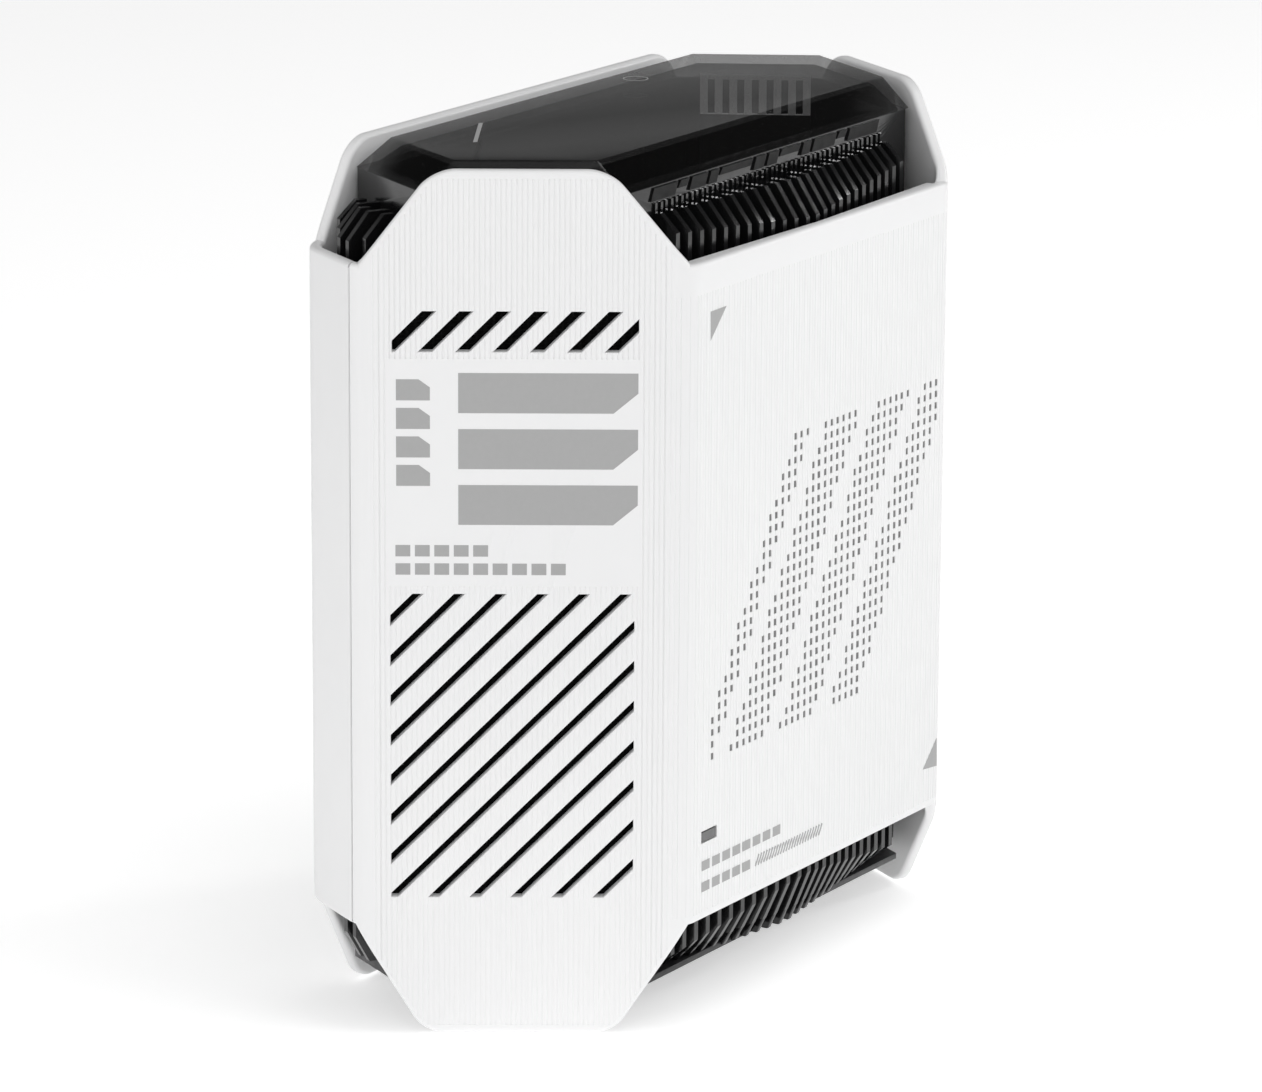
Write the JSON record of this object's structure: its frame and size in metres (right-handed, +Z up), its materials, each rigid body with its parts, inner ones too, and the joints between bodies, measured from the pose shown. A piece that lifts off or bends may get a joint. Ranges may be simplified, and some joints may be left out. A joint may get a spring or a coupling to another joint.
{
  "type": "wireless router",
  "caption": "Upright wireless router: white ribbed two-piece shell with tall tabs, smoked hexagonal lid, black finned frame and rear connector bay.",
  "frame": {"origin": "on the floor under the middle of the body's box", "axes": "+X along the long axis, +Y towards the connector bay at the rear, +Z up"},
  "size_m": [0.1716, 0.076, 0.176],
  "materials": {
    "white_shell": "white moulded plastic with fine upright ribs, satin",
    "smoked_lid": "dark smoked clear plastic, polished",
    "black_plastic": "black moulded plastic, fine satin texture",
    "rubber": "soft black rubber, matt",
    "circuit_board": "dark green solder mask over glass-fibre board",
    "aluminium": "extruded aluminium, bare",
    "steel": "tinned or plated sheet steel, satin",
    "diffuser": "milky light-guide plastic",
    "thermal_pad": "soft grey-blue gap filler",
    "label": "blank silver-grey film",
    "contact": "gold-plated contact springs"
  },
  "bodies": {
    "housing": {"front_shell": "white_shell", "rear_shell": "white_shell", "smoked_lid": "smoked_lid", "indicator_lens": "smoked_lid", "upper_frame": "black_plastic", "lower_frame": "black_plastic", "base_plate": "black_plastic", "connector_panel": "black_plastic", "slot_screen_left": "black_plastic", "slot_screen_right": "black_plastic", "inner_louvre": "black_plastic", "dc_inlet": "black_plastic", "usb_tongue": "black_plastic", "switch_housing": "black_plastic", "rubber_foot_1": "rubber", "rubber_foot_2": "rubber", "rubber_foot_3": "rubber", "rubber_foot_4": "rubber", "main_board": "circuit_board", "front_light_board": "circuit_board", "top_light_board": "circuit_board", "antenna_left_low": "circuit_board", "antenna_left_high": "circuit_board", "antenna_right_low": "circuit_board", "antenna_right_high": "circuit_board", "antenna_rear_left": "circuit_board", "antenna_rear_right": "circuit_board", "heat_sink": "aluminium", "rear_heat_spreader": "aluminium", "processor_shield": "steel", "radio_shield_low": "steel", "radio_shield_high": "steel", "wan_jack": "steel", "lan_jack_1": "steel", "lan_jack_2": "steel", "lan_jack_3": "steel", "usb_port": "steel", "pairing_button_tact_switch": "steel", "reset_button_tact_switch": "steel", "base_screw_1": "steel", "base_screw_2": "steel", "base_screw_3": "steel", "base_screw_4": "steel", "board_screw_1": "steel", "board_screw_2": "steel", "board_screw_3": "steel", "board_screw_4": "steel", "front_light_guide": "diffuser", "light_ring": "diffuser", "thermal_pad": "thermal_pad", "label_plate": "label", "wan_jack_contacts": "contact", "lan_jack_1_contacts": "contact", "lan_jack_2_contacts": "contact", "lan_jack_3_contacts": "contact"},
    "rocker": {"power_switch": "black_plastic"},
    "pairing_key": {"pairing_button": "black_plastic"},
    "reset_key": {"reset_button": "black_plastic"}
  },
  "joints": [
    {"name": "power_rocker", "type": "hinge", "parent": "housing", "child": "rocker", "pos_m": [0.0364, 0.031, 0.0375], "axis": [1, 0, 0], "range_deg": [0, 16]},
    {"name": "pairing_press", "type": "slide", "parent": "housing", "child": "pairing_key", "axis": [0, -1, 0], "range_m": [0, 0.0012], "stiffness_N_per_m": 1500},
    {"name": "reset_press", "type": "slide", "parent": "housing", "child": "reset_key", "axis": [0, -1, 0], "range_m": [0, 0.0008], "stiffness_N_per_m": 1500}
  ]
}
